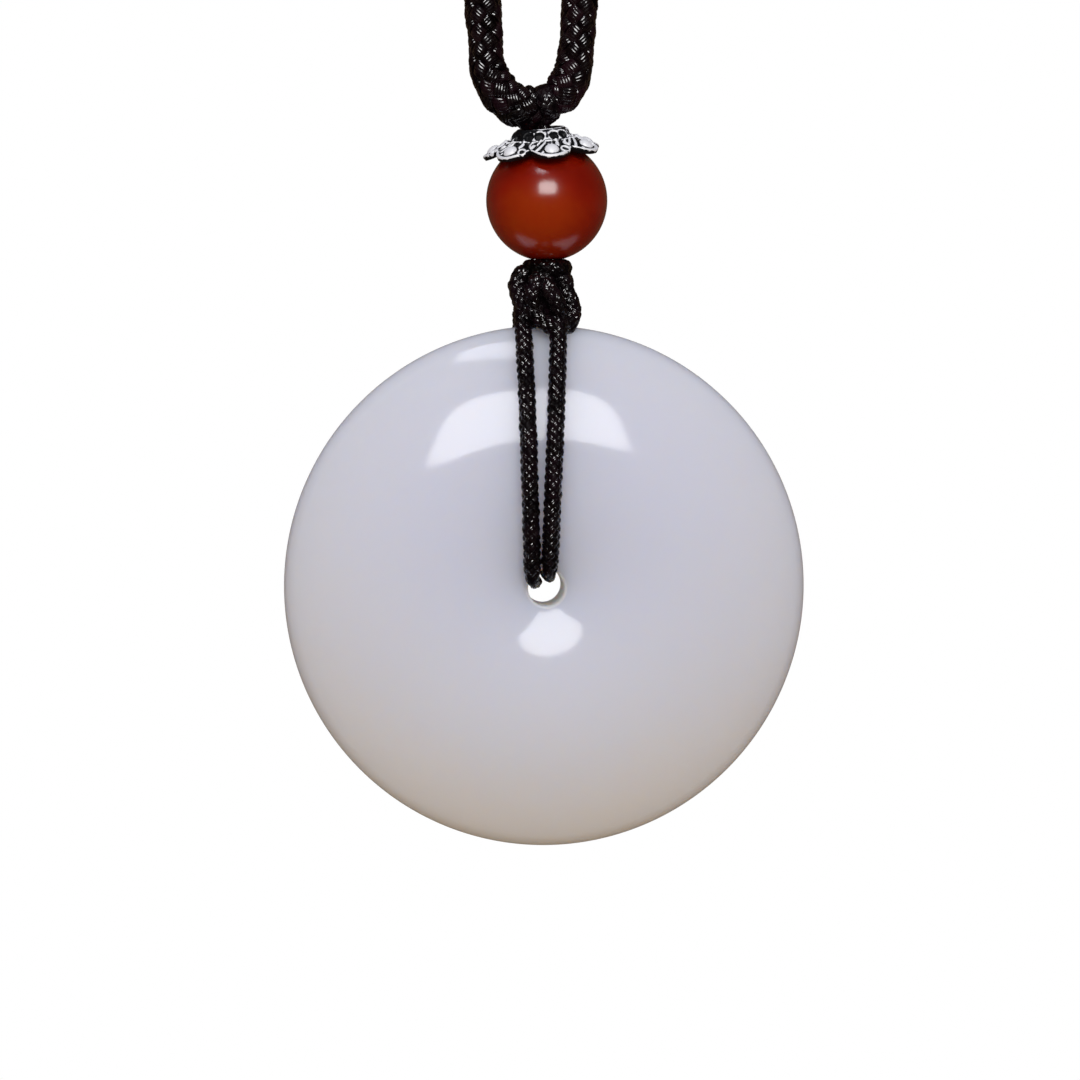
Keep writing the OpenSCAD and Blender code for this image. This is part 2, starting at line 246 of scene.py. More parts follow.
def antiquedSilver():
    # Cast silver alloy, blackened and rubbed back: frosted white on all that is raised, black in
    # the hollows. The frost scatters light like plaster, so little of it is left metallic
    made, tree, shader = newMaterial("antiquedSilver", {"Metallic": 0.1})
    height = addNode(tree, "ShaderNodeAttribute", {"attribute_name": "relief"})
    place = addNode(tree, "ShaderNodeTexCoord")
    wear = addNode(tree, "ShaderNodeTexNoise", {"Scale": 1 / (0.42 * mm), "Detail": 4.0},
                   {"Vector": place.outputs["Object"]})
    # The colour is painted darker on the left of the crown: painted shade
    paintedShadeLeft = addNode(tree, "ShaderNodeMapping",
                      {"vector_type": "TEXTURE", "Location": (beadAt + (-2.1, -1.6, 5.4)) * mm,
                       "Scale": (1.7 * mm, 1.9 * mm, 1.5 * mm)},
                      {"Vector": place.outputs["Object"]})
    left = addNode(tree, "ShaderNodeTexGradient", {"gradient_type": "SPHERICAL"},
                   {"Vector": paintedShadeLeft.outputs["Vector"]})
    rubbedAndPaintedShade = addNode(tree, "ShaderNodeMath", {"operation": "MULTIPLY_ADD", 1: -0.5},
                     {0: left.outputs["Fac"], 2: height.outputs["Fac"]})
    wornAndPaintedShade = addNode(tree, "ShaderNodeMath", {"operation": "MULTIPLY_ADD", 1: 0.6},
                   {0: wear.outputs["Fac"], 2: rubbedAndPaintedShade.outputs["Value"]})
    tint = addNode(tree, "ShaderNodeValToRGB", links={"Fac": wornAndPaintedShade.outputs["Value"]})
    setRamp(tint, [(0.78, "#05060c"), (0.83, "#30303a"), (0.88, "#ffffff")])
    gloss = addNode(tree, "ShaderNodeMapRange",
                    {"From Min": 0.5, "From Max": 0.85, "To Min": 0.5, "To Max": 0.4},
                    {"Value": wornAndPaintedShade.outputs["Value"]})
    pits = addNode(tree, "ShaderNodeTexNoise", {"Scale": 1 / (0.16 * mm), "Detail": 3.0},
                   {"Vector": place.outputs["Object"]})
    bump = addNode(tree, "ShaderNodeBump", {"Strength": 0.35, "Distance": 0.03 * mm},
                   {"Height": pits.outputs["Fac"]})
    tree.links.new(tint.outputs["Color"], shader.inputs["Base Color"])
    tree.links.new(gloss.outputs["Result"], shader.inputs["Roughness"])
    tree.links.new(bump.outputs["Normal"], shader.inputs["Normal"])
    return made


# Columns: the darkest, middle and lightest colour, the width of a thread and of the patches in
# which threads lie alike, in millimetres, and how much of the thread is bare of wax
waxedThreads = {
    "waxedBraidThick": ("#030001", "#0e0408", "#1f0b13", 0.14, 1.6, 0.4),
    "waxedBraidThin": ("#030102", "#0b0508", "#160910", 0.1, 1.2, 0.44),
    "waxedWinding": ("#060506", "#100b0e", "#1a1116", 0.12, 1.4, 0.45),
}


def waxedThread(name, dark, mid, light, threadWide, patchWide, bare):
    # Waxed nylon thread: nearly black, with maroon and violet casts and hard white glints
    made, tree, shader = newMaterial(name, {
        "Roughness": 0.4,
        "IOR": 1.53,
        "Specular IOR Level": 0.08,
        "Coat IOR": 1.95,
        "Coat Roughness": 0.13,
    })
    onThread = addNode(tree, "ShaderNodeAttribute", {"attribute_name": "threadPlace"})
    split = addNode(tree, "ShaderNodeSeparateXYZ", links={"Vector": onThread.outputs["Vector"]})
    place = addNode(tree, "ShaderNodeTexCoord")
    patches = addNode(tree, "ShaderNodeTexNoise", {"Scale": 1 / (2.2 * mm), "Detail": 2.0},
                      {"Vector": place.outputs["Object"]})
    mixed = addNode(tree, "ShaderNodeMath", {"operation": "MULTIPLY_ADD", 1: 0.35},
                    {0: split.outputs["Z"], 2: patches.outputs["Fac"]})
    tint = addNode(tree, "ShaderNodeValToRGB", links={"Fac": mixed.outputs["Value"]})
    setRamp(tint, [(0.35, dark), (0.62, mid), (0.9, light)])
    # The thread's own twist, in fine lines two thread widths apart along it
    slant = addNode(tree, "ShaderNodeMath", {"operation": "MULTIPLY_ADD", 1: 0.5},
                    {0: split.outputs["Y"], 2: split.outputs["X"]})
    turns = addNode(tree, "ShaderNodeMath",
                    {"operation": "MULTIPLY", 1: 2 * math.pi / threadWide},
                    {0: slant.outputs["Value"]})
    twist = addNode(tree, "ShaderNodeMath", {"operation": "SINE"}, {0: turns.outputs["Value"]})
    # Wax shines on the crown of each thread, but not all over it or in the grooves between, and
    # most in the middle of the knot, where fingers rub
    wax = addNode(tree, "ShaderNodeTexNoise", {"Scale": 1 / (0.5 * mm), "Detail": 1.0},
                  {"Vector": place.outputs["Object"]})
    handled = addNode(tree, "ShaderNodeMapping",
                      {"vector_type": "TEXTURE", "Location": (discAt + (-0.2, -2.4, 24.2)) * mm,
                       "Scale": (0.9 * mm, 2.4 * mm, 1.7 * mm)},
                      {"Vector": place.outputs["Object"]})
    middle = addNode(tree, "ShaderNodeTexGradient", {"gradient_type": "SPHERICAL"},
                     {"Vector": handled.outputs["Vector"]})
    waxier = addNode(tree, "ShaderNodeMath", {"operation": "MULTIPLY_ADD", 1: 0.5},
                     {0: middle.outputs["Fac"], 2: wax.outputs["Fac"]})
    masks = [addNode(tree, "ShaderNodeMapRange",
                     {"From Min": low, "From Max": high, "To Min": 0.0, "To Max": 1.0},
                     {"Value": source})
             for source, low, high in ((waxier.outputs["Value"], bare, bare + 0.1),
                                       (split.outputs["X"], 0.2, 0.6))]
    waxed = addNode(tree, "ShaderNodeMath", {"operation": "MULTIPLY"},
                    {0: masks[0].outputs["Result"], 1: masks[1].outputs["Result"]})
    # Threads don't lie quite even, so that some catch the light and others stay black
    uneven = addNode(tree, "ShaderNodeTexNoise", {"Scale": 1 / (patchWide * mm), "Detail": 1.0},
                     {"Vector": place.outputs["Object"]})
    rolled = addNode(tree, "ShaderNodeBump", {"Strength": 0.8, "Distance": 0.6 * mm},
                     {"Height": uneven.outputs["Fac"]})
    bump = addNode(tree, "ShaderNodeBump", {"Strength": 0.12, "Distance": 0.02 * mm},
                   {"Height": twist.outputs["Value"], "Normal": rolled.outputs["Normal"]})
    tree.links.new(tint.outputs["Color"], shader.inputs["Base Color"])
    tree.links.new(waxed.outputs["Value"], shader.inputs["Coat Weight"])
    tree.links.new(bump.outputs["Normal"], shader.inputs["Normal"])
    return made


jadeFinish = polishedMilkJade()
agateFinish = polishedAgate()
silverFinish = antiquedSilver()
thickFinish, thinFinish, wrapFinish = [waxedThread(name, *look)
                                       for name, look in waxedThreads.items()]
print("materials made")


# Meshes
def buildMesh(name, points, quads, endFaces=(), attributes=None, finish=None):
    mesh = bpy.data.meshes.new(name)
    faces = np.asarray(quads).tolist() + [list(face) for face in endFaces]
    mesh.from_pydata((np.asarray(points) * mm).tolist(), [], faces)
    for key, (kind, field, values) in (attributes or {}).items():
        made = mesh.attributes.new(key, kind, "POINT")
        made.data.foreach_set(field, np.asarray(values, np.float32).ravel())
    mesh.shade_smooth()
    if finish:
        mesh.materials.append(finish)
    piece = bpy.data.objects.new(name, mesh)
    bpy.context.scene.collection.objects.link(piece)
    return piece


def creaseGrooves(piece, crown):
    # Edges that run in the grooves between threads stay sharp
    mesh = piece.data
    groove = 0.01          # as high on a thread as a groove's points may lie
    ends = np.zeros(len(mesh.edges) * 2, np.int32)
    mesh.edges.foreach_get("vertices", ends)
    sharp = (crown[ends.reshape(-1, 2)] < groove).all(1)
    mesh.attributes.new("sharp_edge", "BOOLEAN", "EDGE").data.foreach_set("value", sharp)


def ringQuads(rings, sides, closed=False):
    # Faces between rings of points, each ring closed on itself
    a = np.arange(rings if closed else rings - 1)[:, None] * sides
    b = (a + sides) % (rings * sides)
    k = np.arange(sides)[None, :]
    k1 = (k + 1) % sides
    return np.stack([a + k, a + k1, b + k1, b + k], -1).reshape(-1, 4)


def finishPiece(piece, body, slotName, *nodes):
    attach(piece, body)
    if nodes:
        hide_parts(*nodes)
    return piece


# Jade disc, a closed section turned about the hole's axis
jade = {
    "radius": sizeOf("jade_disc")[0] / 2,
    "thick": sizeOf("jade_disc")[1],
    "crestR": 9.2,         # where it is thickest
    "rimR": 2.0,           # the round of its rim
    "holeR": 1.5,
    "edgeR": 0.35,         # the round of the hole's edge
    "around": 288,
    "rimPoints": 14,       # along the section
    "facePoints": 46,
    "edgePoints": 8,
}


def jadeMeasures():
    halfT, crestR, rimR = jade["thick"] / 2, jade["crestR"], jade["rimR"]
    rimAt = jade["radius"] - rimR
    rimReach = rimAt - crestR
    faceR = (rimReach ** 2 + halfT ** 2 - rimR ** 2) / (2 * (halfT - rimR))
    faceBack = faceR - halfT
    edgeAt = jade["holeR"] + jade["edgeR"]
    edgeReach = crestR - edgeAt
    edgeDepth = math.sqrt((faceR - jade["edgeR"]) ** 2 - edgeReach ** 2) - faceBack
    return rimAt, rimReach, faceR, faceBack, edgeAt, edgeReach, edgeDepth


rimAt, rimReach, faceR, faceBack, edgeAt, edgeReach, edgeDepth = jadeMeasures()
innerAngle = -math.asin(edgeReach / (faceR - jade["edgeR"]))


def turned(profile, centre, axis, side, around):
    # A closed section of (radius, height) points turned about an axis
    angle = np.arange(around) * 2 * math.pi / around
    other = np.cross(axis, side)
    spoke = np.cos(angle)[:, None] * side + np.sin(angle)[:, None] * other
    r, h = np.array(profile).T
    points = centre + r[None, :, None] * spoke[:, None, :] + h[None, :, None] * axis
    return points.reshape(-1, 3), ringQuads(around, len(profile), closed=True)


def makeDisc():
    rimTurn = math.atan2(rimReach, faceBack)
    rim = [(rimAt + jade["rimR"] * math.sin(a), -jade["rimR"] * math.cos(a))
           for a in np.linspace(math.pi / 2, rimTurn, jade["rimPoints"])]
    face = [(jade["crestR"] + faceR * math.sin(a), faceBack - faceR * math.cos(a))
            for a in np.linspace(rimTurn, innerAngle, jade["facePoints"])[1:]]
    edge = [(edgeAt + jade["edgeR"] * math.sin(a), -edgeDepth - jade["edgeR"] * math.cos(a))
            for a in np.linspace(innerAngle, -math.pi / 2, jade["edgePoints"])[1:]]
    bore = [(jade["holeR"], -edgeDepth * t) for t in (0.66, 0.33, 0)]
    front = rim + face + edge + bore
    back = [(r, -h) for r, h in reversed(front[1:-1])]
    points, quads = turned(front + back, discAt, backward, across, jade["around"])
    piece = buildMesh("jadeDisc", points, quads[:, ::-1], finish=jadeFinish)
    return finishPiece(piece, "pendant", "jade", "jade_disc")


makeDisc()
print("jade disc turned")


# Agate bead, drilled through
bead = {
    "radius": sizeOf("agate_bead")[0] / 2,
    "boreR": thinCord["pressed"] + 1.5 * thinCord["gap"],
    "chamfer": 0.12,
    "around": 128,
    "outsidePoints": 72,   # along the section
    "borePoints": 8,
}


def makeBead():
    low = math.asin((bead["boreR"] + bead["chamfer"]) / bead["radius"])
    outer = [(bead["radius"] * math.sin(a), bead["radius"] * math.cos(a))
             for a in np.linspace(low, math.pi - low, bead["outsidePoints"])]
    top = outer[0][1] - bead["chamfer"]
    bore = [(bead["boreR"], h) for h in np.linspace(-top, top, bead["borePoints"])]
    points, quads = turned(outer + bore, beadAt, upward, across, bead["around"])
    piece = buildMesh("agateBead", points, quads[:, ::-1], finish=agateFinish)
    return finishPiece(piece, "pendant", "agate", "agate_bead")


makeBead()
print("bead drilled")


def smoothStep(x, low, high):
    # From 0 to 1 between low and high, with no corner
    t = np.clip((x - low) / (high - low), 0, 1)
    return t * t * (3 - 2 * t)


# Routes: points with a tangent and two side directions at each place along them
def routeOf(points, side=None, closed=False):
    points = np.asarray(points, float)
    steps = np.linalg.norm(np.diff(points, axis=0), axis=1)
    along = np.concatenate([[0], np.cumsum(steps)])
    if closed:
        ring = np.concatenate([points[-2:-1], points, points[1:2]])
        tangent = ring[2:] - ring[:-2]
    else:
        tangent = np.gradient(points, along, axis=0)
    tangent /= np.linalg.norm(tangent, axis=1)[:, None]
    if side is not None:
        second = side - (tangent @ side)[:, None] * tangent
    else:
        second = np.zeros_like(points)
        hold = np.cross(tangent[0], upward if abs(tangent[0][2]) < 0.9 else across)
        for i, t in enumerate(tangent):
            hold = hold - (hold @ t) * t
            hold /= np.linalg.norm(hold)
            second[i] = hold
    second /= np.linalg.norm(second, axis=1)[:, None]
    first = np.cross(second, tangent)
    return {"along": along, "points": points, "first": first, "second": second,
            "length": along[-1], "closed": closed}


def onRoute(route, key, s):
    if route["closed"]:
        s = s % route["length"]
    values = route[key]
    return np.stack([np.interp(s, route["along"], values[:, i]) for i in range(3)], -1)


def smoothThrough(points, gap=0.06):
    # A smooth curve through given points
    p = np.asarray(points, float)
    p = np.concatenate([[2 * p[0] - p[1]], p, [2 * p[-1] - p[-2]]])
    made = []
    for a, b, c, d in zip(p, p[1:], p[2:], p[3:]):
        count = max(3, int(np.linalg.norm(c - b) / gap))
        t = np.arange(count)[:, None] / count
        made.append(0.5 * (2 * b + (c - a) * t + (2 * a - 5 * b + 4 * c - d) * t ** 2
                           + (3 * b - a - 3 * c + d) * t ** 3))
    return np.concatenate(made + [p[-2:-1]])


# Braids: strands wind each way, each one over and under the others, as flat bundles of threads
weave = {
    "perWay": 4,           # strands each way
    "strayWaves": (2.3, 5.1),      # a bundle strays in two waves, in radians a pitch
    "strayPhase": 3,
    "heightVaries": 0.18,  # how much one bundle's height differs from the next, as a share
    "overSharp": 2.6,      # how sharply a bundle goes from under to over
    "grooveDeep": 0.15,    # the grooves between threads, in thread widths
    "topFall": 0.3,        # how far a bundle's top falls to its edges, in its thickness
    "underWide": 0.7,      # its flat underside, as a share of its width
    "coreSunk": 0.35,      # the core's surface, under the bundles' middle, in their thickness
    "coreSides": 12,
    "coreGap": 0.5,        # between the core's rings, in the cord's radius
}


def ribbonSection(wide, thick, threads, perThread):
    # Top side in one low hump for each thread, and a flat underside; last, each point's height
    # on its thread, from groove to crown
    u = np.linspace(-1, 1, threads * perThread + 1)
    share = np.arange(len(u)) % perThread / perThread
    hump = 1 - (2 * share - 1) ** 2
    groove = weave["grooveDeep"] * wide / threads
    top = 0.5 * thick - groove * (1 - hump) - weave["topFall"] * thick * u ** 2
    wideUnder = np.array([weave["underWide"], -weave["underWide"]])
    under = np.full(2, -0.5 * thick)
    return (np.concatenate([u, wideUnder]) * wide / 2, np.concatenate([top, under]),
            np.concatenate([hump, (0, 0)]))


def tubeEnds(first, rings, sides):
    # The two end faces of a tube whose first point has this number
    last = first + (rings - 1) * sides
    return [[first + k for k in range(sides)][::-1], [last + k for k in range(sides)]]


def makeBraid(route, braid, fromS, toS, mesh, shape=None, twist=None, seed=1):
    # shape gives the size along first and second at each place, twist turns the whole braid
    ringGap, threads, perThread = mesh
    chance = np.random.default_rng(seed)
    pitch, outR, perWay = braid["pitch"], braid["thick"] / 2, weave["perWay"]
    if route["closed"]:
        pitch = route["length"] / round(route["length"] / pitch)
    wave, thick = braid["wave"], braid["strandThick"]
    midR = outR - wave - thick / 2
    steep = 2 * math.pi * midR / pitch
    slope = math.atan(steep)
    wide = 2 * math.pi * midR / perWay * math.cos(slope) * braid["fill"]
    u, h, crown = ribbonSection(wide, thick, threads, perThread)
    sides = len(u)
    rings = max(8, int((toS - fromS) / math.cos(slope) / ringGap))
    s = np.linspace(fromS, toS, rings)
    allPoints, allQuads, ends, places = [], [], [], []
    count = 0

    def placed(sAt, angle, r):
        size1, size2 = shape(sAt, angle) if shape else (1.0, 1.0)
        first = onRoute(route, "first", sAt) * (np.cos(angle) * r * size1)[..., None]
        second = onRoute(route, "second", sAt) * (np.sin(angle) * r * size2)[..., None]
        return onRoute(route, "points", sAt) + first + second

    twisted = twist(s) if twist else np.zeros(rings)
    slow, quick = weave["strayWaves"]
    phase = weave["strayPhase"]
    for way in (1, -1):
        for strand in range(perWay):
            # Each bundle strays a little, as hand-laid ones do, and comes back to its place
            stray = chance.uniform(-1, 1, 4)
            drift = braid["stray"] * np.sin(s / pitch * slow + stray[0] * phase + strand)
            drift += braid["stray"] * np.sin(s / pitch * quick + stray[3] * phase)
            base = way * 2 * math.pi * s / pitch + strand * 2 * math.pi / perWay
            over = way * np.cos(perWay * base)
            # The part that lies on top runs straighter along the cord than the part beneath
            angle = base - way * braid["straighten"] / perWay * np.sin(perWay * base) + twisted
            lean = np.arctan(steep * (1 - braid["straighten"] * over))
            over = np.tanh(weave["overSharp"] * over)
            centreR = midR + wave * over + drift
            lift = (1 + weave["heightVaries"] * stray[1]) * h
            sAt = s[:, None] - way * u[None, :] * np.sin(lean)[:, None]
            angleAt = angle[:, None] + u[None, :] * np.cos(lean)[:, None] / midR
            r = centreR[:, None] + lift[None, :]
            if not route["closed"]:
                sAt = np.clip(sAt, 0, route["length"])
            allPoints.append(placed(sAt, angleAt, r).reshape(-1, 3))
            allQuads.append(ringQuads(rings, sides) + count)
            ends += tubeEnds(count, rings, sides)
            place = np.zeros((rings, sides, 3))
            place[..., 0] = crown[None, :]
            place[..., 1] = (s / math.cos(slope))[:, None]
            place[..., 2] = chance.uniform(0, 1)
            places.append(place.reshape(-1, 3))
            count += rings * sides
    # A plain core that closes the chinks between the strands
    coreSides = weave["coreSides"]
    coreGap = weave["coreGap"] * outR
    coreS = np.linspace(fromS, toS, max(6, int((toS - fromS) / coreGap)))
    turn = np.arange(coreSides) * 2 * math.pi / coreSides
    sGrid = np.repeat(coreS[:, None], coreSides, 1)
    coreR = np.full(sGrid.shape, midR - weave["coreSunk"] * thick)
    points = placed(sGrid, np.repeat(turn[None, :], len(coreS), 0), coreR).reshape(-1, 3)
    allPoints.append(points)
    allQuads.append(ringQuads(len(coreS), coreSides) + count)
    ends += tubeEnds(count, len(coreS), coreSides)
    places.append(np.zeros((len(points), 3)))
    return np.concatenate(allPoints), np.concatenate(allQuads), ends, np.concatenate(places)


def joined(parts):
    points, quads, ends, places = [], [], [], []
    count = 0
    for p, q, e, t in parts:
        points.append(p)
        quads.append(q + count)
        ends += [[i + count for i in face] for face in e]
        places.append(t)
        count += len(p)
    return np.concatenate(points), np.concatenate(quads), ends, np.concatenate(places)


def cordPiece(name, parts, finish, body, slotName, *nodes):
    points, quads, ends, places = joined(parts)
    piece = buildMesh(name, points, quads, ends,
                      {"threadPlace": ("FLOAT_VECTOR", "vector", places)}, finish)
    creaseGrooves(piece, places[:, 0])
    return finishPiece(piece, body, slotName, *nodes)


# Neck cord: a whole loop, with two straight legs between the small bend and the round top
neck = {
    "length": 600.0,
    "thick": 3.0,
    "bendR": 3.9,
    "legSpread": math.radians(1.4),
    "wrapLength": 14.0,
    "wrapWall": 0.6,
    "nip": 0.62,           # how deep the thin loop nips into it
    "nipWide": 0.75,
    "flatter": 0.13,       # how much flatter it is from front to back near the nip, as a share,
    "flatterOver": 3.6,    # over this length, so that the cap clears it when it swings
    "nearLeg": 16.0,       # the stretch of each leg that gets the finest mesh
    "sideSharp": 1.5,      # how sharply a swelling is held to the inside or outside
    "topGap": 0.2,         # between the route's points round the top,
    "bendGap": 0.05,       # round the bend
    "legPoints": 560,      # and along each leg
}
# Columns: how far from the bend's lowest point, over what length, and by how much the bent cord
# bunches up on the inside
neckBunches = [(-4.3, 2.4, 0.34), (3.9, 2.8, 0.3)]
# and sags or is drawn in on the outside
neckSags = [(0.1, 2.1, 0.46), (-6.4, 3.2, -0.3), (6.4, 3.2, -0.33)]
thickBraid = {
    "thick": 3.26,
    "pitch": 6.0,          # one strand's whole turn
    "wave": 0.15,          # how far a strand rises and dips, over and under
    "strandThick": 0.42,
    "fill": 1.04,          # strands as wide as their share of the way round, times this
    "stray": 0.03,
    "straighten": 0.35,    # how much straighter a strand runs where it lies on top
    # The gap between rings, the threads in a strand and the points on a thread
    "nearMesh": (0.16, 5, 4),
    "farMesh": (0.7, 3, 2),
}


def neckRoute():
    spread, bendR = neck["legSpread"], neck["bendR"]
    apart = ((neck["length"] - 2 * math.pi * bendR)
             / (math.sin(spread) * (math.pi + 2 * spread) + 2 * math.cos(spread)))
    topR = bendR + apart * math.sin(spread)
    topDrop = topR - (neck["thick"] / 2 + thinCord["gap"] + neck["wrapWall"])
    bendDrop = topDrop + apart
    bendX = beadAt[0] - bendR * nipAxis[2]
    lean = math.asin(-bendX / bendDrop)
    top, bend = np.array((0, -topDrop)), np.array((0, -bendDrop))

    def arc(centre, r, start, stop, gap):
        a = np.linspace(start, stop, int(abs(stop - start) * r / gap) + 2)
        return centre + r * np.stack([np.cos(a), np.sin(a)], -1)

    rightTop = arc(top, topR, math.pi / 2, -spread, neck["topGap"])
    bendArc = arc(bend, bendR, -spread, -math.pi + spread, neck["bendGap"])
    leftTop = arc(top, topR, math.pi + spread, math.pi / 2, neck["topGap"])

    def leg(a, b):
        return a + (b - a) * np.linspace(0, 1, neck["legPoints"])[1:-1, None]

    flat = np.concatenate([rightTop, leg(rightTop[-1], bendArc[0]), bendArc,
                           leg(bendArc[-1], leftTop[0]), leftTop])
    x = flat[:, 0] * math.cos(lean) + flat[:, 1] * math.sin(lean)
    z = -flat[:, 0] * math.sin(lean) + flat[:, 1] * math.cos(lean)
    points = np.stack([x, np.zeros(len(x)), z], -1)
    route = routeOf(points, side=backward, closed=True)
    nearest = np.argmin(np.linalg.norm(points - hangAt, axis=1))
    return route, route["along"][nearest]


neckPath, nipS = neckRoute()


def neckShape(s, angle):
    # Drawn in and flatter where the loaded loop nips it, and bunched or sagging round the bend
    away = s - neckPath["length"] / 2
    drawn = np.exp(-((s - nipS) / neck["nipWide"]) ** 2)
    inside = np.clip(np.cos(angle), 0, 1) ** neck["sideSharp"]
    outside = np.clip(-np.cos(angle), 0, 1) ** neck["sideSharp"]

    def swelling(table):
        return sum(by * np.exp(-((away - at) / over) ** 2) for at, over, by in table)

    swell = inside * swelling(neckBunches) + outside * swelling(neckSags)
    size = 1 - neck["nip"] / (neck["thick"] / 2) * drawn
    flatter = 1 - neck["flatter"] * np.exp(-((s - nipS) / neck["flatterOver"]) ** 2)
    return size + swell / (neck["thick"] / 2) * (1 - drawn), size * flatter


def neckTwist(s):
    # Half a weave's turn from one leg to the other, so that on both the strands that lean right
    # lie on top on the right of the front, and those that lean left on its left
    t = np.clip((s - neckPath["length"] / 2) / (math.pi * neck["bendR"]) + 0.5, 0, 1)
    return math.pi / 8 * (2 * t * t * (3 - 2 * t) - 1)


def makeNeckCord():
    length = neckPath["length"]
    bendHalf = math.pi * neck["bendR"] / 2
    first = length / 2 - bendHalf - neck["nearLeg"]
    last = length / 2 + bendHalf + neck["nearLeg"]
    # The bend and the two legs near it are the piece that stands for the whole solid
    stretches = [
        ("neckBraidBend", first, last, "nearMesh", ["neck_cord"]),
        ("neckBraidRight", 0.0, first, "farMesh", []),
        ("neckBraidLeft", last, length, "farMesh", []),
    ]
    for name, start, stop, mesh, nodes in stretches:
        part = makeBraid(neckPath, thickBraid, start, stop, thickBraid[mesh], neckShape,
                         neckTwist)
        cordPiece(name, [part], thickFinish, "necklace", "thick_braid", *nodes)


makeNeckCord()
print("neck cord braided")


# Thread wrap over the neck cord's joined ends, wound as one long coil
def makeWrap():
    thread = neck["wrapWall"]
    turns = int(neck["wrapLength"] / thread)
    perTurn = 28
    count = turns * perTurn
    angle = np.arange(count + 1) * 2 * math.pi / perTurn
    s = (np.arange(count + 1) / count - 0.5) * (neck["wrapLength"] - thread)
    coilR = neck["thick"] / 2 + thinCord["gap"] + thread / 2
    points = (onRoute(neckPath, "points", s)
              + onRoute(neckPath, "first", s) * (np.cos(angle) * coilR)[:, None]
              + onRoute(neckPath, "second", s) * (np.sin(angle) * coilR)[:, None])
    route = routeOf(points)
    sides = 8
    turn = np.arange(sides) * 2 * math.pi / sides
    ring = (points[:, None, :]
            + thread / 2 * (np.cos(turn)[None, :, None] * route["first"][:, None, :]
                            + np.sin(turn)[None, :, None] * route["second"][:, None, :]))
    quads = ringQuads(count + 1, sides)
    places = np.zeros((count + 1, sides, 3))
    places[..., 0] = 1.0
    places[..., 1] = route["along"][:, None]
    places[..., 2] = 0.5
    part = (ring.reshape(-1, 3), quads, tubeEnds(0, count + 1, sides), places.reshape(-1, 3))
    cordPiece("cordJoinWinding", [part], wrapFinish, "necklace", "wound_thread", "cord_join")


makeWrap()
print("wrap wound")


# Thin cord's braid, in the same measures as the thick one's
thinBraid = {
    "thick": 1.5,
    "pitch": 2.8,
    "wave": 0.085,
    "strandThick": 0.22,
    "fill": 1.04,
    "stray": 0.018,
    "straighten": 0.35,
    "mesh": (0.2, 3, 3),
}


def thinLength(route, seed, shape=None):
    return makeBraid(route, thinBraid, 0.0, route["length"], thinBraid["mesh"], shape, seed=seed)


# Two runs of it, down the disc's front, through its hole and up its back
runs = {
    # Each run's place across the disc at the knot, half way down and above the hole, at these
    # shares of the way
    "shares": (0.0, 0.65, 1.0),
    "left": (-1.85, -1.46, -1.2),
    "right": (1.1, 0.44, 0.22),
    "exitOver": 0.2,       # how far outside the rim a run leaves the knot
    "intoKnot": 1.3,       # how far its end reaches into the knot,
    "sunk": 0.55,          # and how much deeper it lies there
    "turnEase": 0.35,      # how soon it hugs the hole's edge
    "tightTo": 0.4,        # it is squeezed to this far outside the hole's edge,
    "freeFrom": 2.4,       # and has its full size from here
    "facePoints": 60,      # along the route, down the face
    "turnPoints": 14,      # and round the hole's edge
}


def runRoute(side):
    standOff = thinCord["thick"] / 2 + thinCord["gap"]
    runR = faceR + standOff
    exitAngle = math.asin((jade["radius"] + runs["exitOver"] - jade["crestR"]) / runR)
    pairHalf = (thinCord["pressed"] + thinCord["gap"]) / 2
    places = runs["left"] if side < 0 else runs["right"]
    lowX = places[-1]
    holeX = -thinCord["pairLeft"] + side * pairHalf
    front = []
    for t in np.linspace(-0.02, 1, runs["facePoints"]):
        a = exitAngle + (innerAngle - exitAngle) * t
        r = jade["crestR"] + runR * math.sin(a)
        x = np.interp(t, runs["shares"], places)
        front.append((x, r, faceBack - runR * math.cos(a)))
    for t in np.linspace(0, 1, runs["turnPoints"])[1:]:
        a = innerAngle + (-math.pi / 2 - innerAngle) * t
        turnR = jade["edgeR"] + standOff + (pairHalf - standOff) * t ** runs["turnEase"]
        front.append((lowX + (holeX - lowX) * t, edgeAt + turnR * math.sin(a),
                      -edgeDepth - turnR * math.cos(a)))
    placed = [np.array((x, y, math.sqrt(r * r - x * x))) for x, r, y in front]
    lead = placed[0] - placed[1]
    lead *= runs["intoKnot"] / np.linalg.norm(lead)
    sink = np.array((0, runs["sunk"], 0.0))
    half = [placed[0] + lead + sink, placed[0] + lead * 0.5 + sink * 0.3] + placed
    whole = half + [p * (1, -1, 1) for p in reversed(half)]
    return routeOf(np.array(whole) + (0, 0, discAt[2]), side=across)


def runShape(route):
    # The cord is squeezed inside the hole
    mid = route["length"] / 2
    tight, free = edgeDepth + runs["tightTo"], edgeDepth + runs["freeFrom"]

    def shape(s, angle):
        t = smoothStep(np.abs(s - mid), tight, free)
        size = thinCord["pressed"] / thinCord["thick"] * (1 - t) + t
        return size, size

    return shape


def makeRuns():
    for side, name, node in ((-1, "runLeft", "strand_left"), (1, "runRight", "strand_right")):
        route = runRoute(side)
        part = thinLength(route, 3 + side, runShape(route))
        cordPiece(name, [part], thinFinish, "pendant", "thin_braid", node)


makeRuns()
print("runs laid")


# Hanging loop: up through bead and cap, and round the neck cord
loop = {
    "gripGap": 0.04,       # between its band and the nipped neck cord
    "gripTurn": (-52, -30, -5, 20, 45, 70, 90),    # degrees round it, up to its top
    "bandFrom": 0.7,       # how far outside the grip the cord starts to flatten,
    "bandOver": 0.9,       # and over what length
    "underBead": 0.3,      # how far under the bead its ends reach
}


